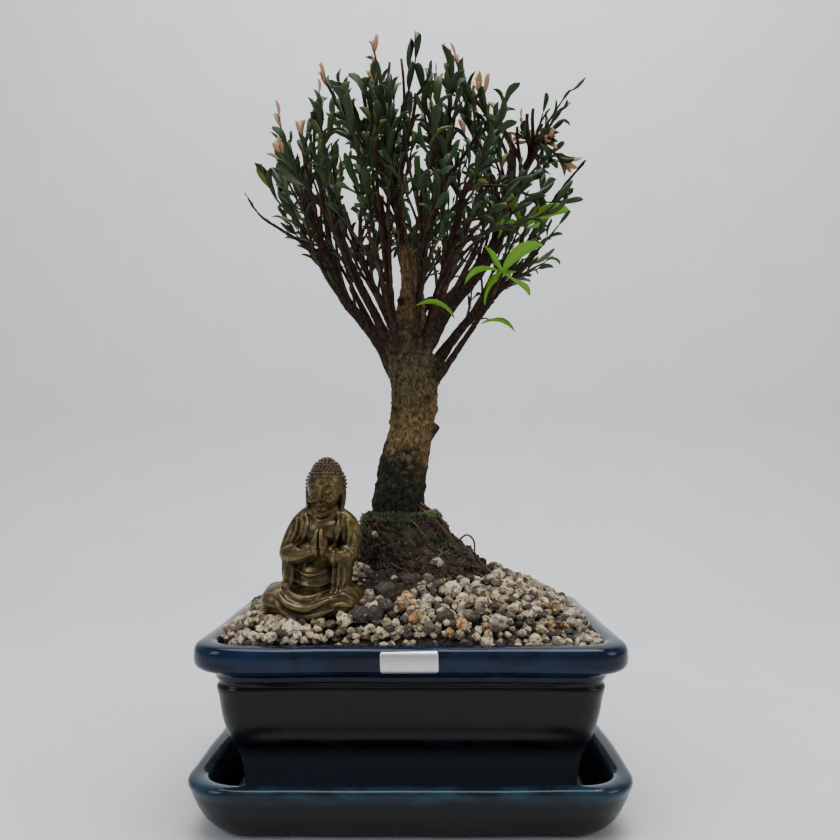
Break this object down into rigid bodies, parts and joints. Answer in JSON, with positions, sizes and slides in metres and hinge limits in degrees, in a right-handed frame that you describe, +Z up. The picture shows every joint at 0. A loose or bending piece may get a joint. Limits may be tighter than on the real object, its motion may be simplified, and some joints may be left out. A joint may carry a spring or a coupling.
{
  "type": "bonsai tree",
  "caption": "Brush cherry bonsai with a broom crown in a dark blue glazed pot on its drip tray, with gravel and a small seated bronze-coloured figure.",
  "frame": {"origin": "middle of the drip tray's flat underside, on the surface that the bonsai stands on", "axes": "+Z up along the trunk, +X to the right along the pot's long side, -Y out of the front with the label and the seated figure"},
  "size_m": [0.206, 0.1664, 0.4039],
  "materials": {
    "pot_glaze": "gloss",
    "tray_glaze": "gloss",
    "mesh_plastic": "matte",
    "label_foil": "satin",
    "soil": "matte",
    "gravel": "matte",
    "bronze_resin": "satin",
    "bark": "matte",
    "leaf": "satin",
    "young_green_leaf": "satin"
  },
  "bodies": {
    "root": {"bright_spray_1": "young_green_leaf", "bright_spray_2": "young_green_leaf", "drain_mesh_left": "mesh_plastic", "drain_mesh_right": "mesh_plastic", "drip_tray": "tray_glaze", "gravel": "gravel", "pot": "pot_glaze", "rim_label": "label_foil", "seated_figure": "bronze_resin", "shoot_01": "leaf", "shoot_02": "leaf", "shoot_03": "leaf", "shoot_04": "leaf", "shoot_05": "leaf", "shoot_06": "leaf", "shoot_07": "leaf", "shoot_08": "leaf", "shoot_09": "leaf", "shoot_10": "leaf", "shoot_11": "leaf", "shoot_12": "leaf", "shoot_13": "leaf", "shoot_14": "leaf", "shoot_15": "leaf", "shoot_16": "leaf", "shoot_17": "leaf", "shoot_18": "leaf", "shoot_19": "leaf", "shoot_20": "leaf", "shoot_21": "leaf", "shoot_22": "leaf", "shoot_23": "leaf", "shoot_24": "leaf", "shoot_25": "leaf", "shoot_26": "leaf", "shoot_27": "leaf", "shoot_28": "leaf", "shoot_29": "leaf", "shoot_30": "leaf", "shoot_31": "leaf", "shoot_32": "leaf", "shoot_33": "leaf", "shoot_34": "leaf", "shoot_35": "leaf", "shoot_36": "leaf", "shoot_37": "leaf", "shoot_38": "leaf", "shoot_39": "leaf", "shoot_40": "leaf", "shoot_41": "leaf", "shoot_42": "leaf", "shoot_43": "leaf", "shoot_44": "leaf", "shoot_45": "leaf", "shoot_46": "leaf", "shoot_47": "leaf", "shoot_48": "leaf", "soil": "soil", "tree_wood": "bark"}
  },
  "joints": []
}
